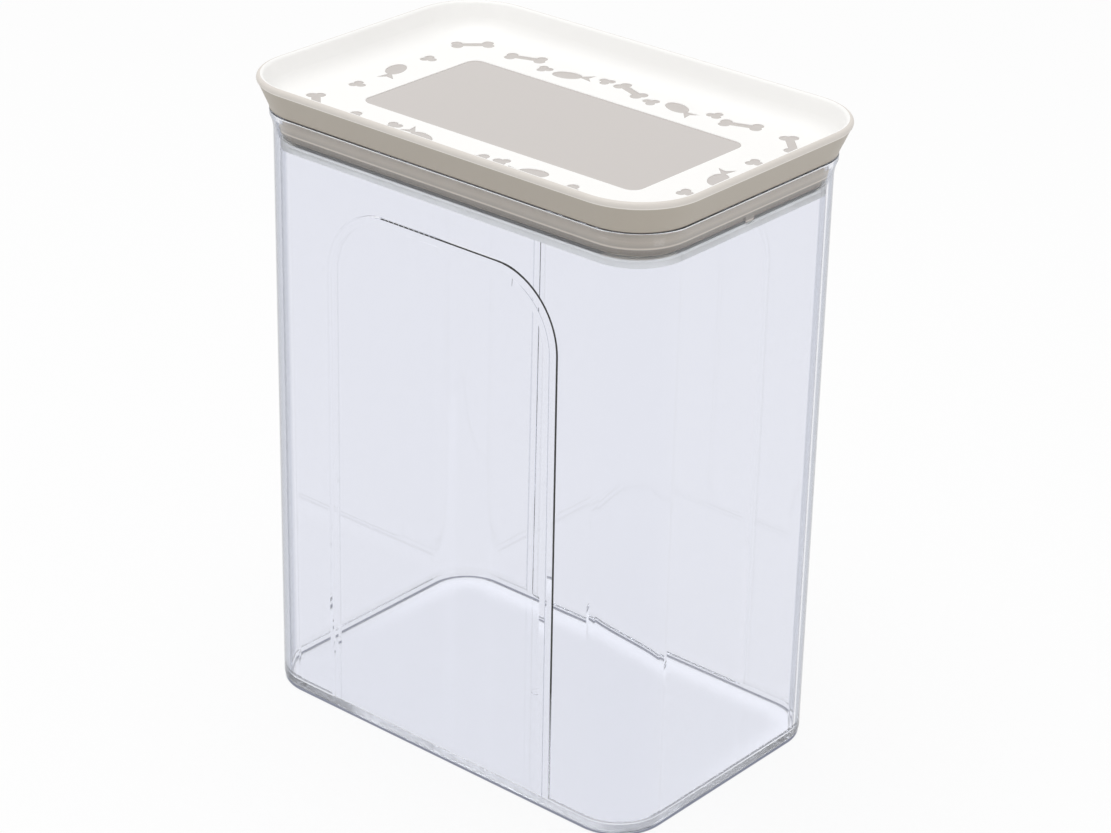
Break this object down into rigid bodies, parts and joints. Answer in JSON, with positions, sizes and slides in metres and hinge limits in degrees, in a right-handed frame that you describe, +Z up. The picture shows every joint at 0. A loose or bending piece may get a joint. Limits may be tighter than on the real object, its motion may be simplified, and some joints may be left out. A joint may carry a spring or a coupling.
{
  "type": "pet food storage jar",
  "caption": "Clear upright storage jar for dry pet food with a flared rim, arched side panels and a taupe plug lid whose tray has a white treat print.",
  "frame": {"origin": "middle of the foot, on the surface the jar stands on", "axes": "+Z up, X along the long side, the long sides with the arched panels face -Y and +Y"},
  "size_m": [0.2042, 0.1358, 0.2584],
  "materials": {
    "clear_jar": "clear, polished mould",
    "taupe_lid": "satin moulded",
    "white_print": "satin printed foil",
    "clear_seal": "translucent silicone"
  },
  "bodies": {
    "jar": {"jar_body": "clear_jar"},
    "lid": {"lid_body": "taupe_lid", "lid_print_foil": "white_print", "seal_ring": "clear_seal"}
  },
  "joints": [
    {"name": "lid_lift", "type": "slide", "parent": "jar", "child": "lid", "axis": [0, 0, 1], "range_m": [0, 0.2]}
  ]
}
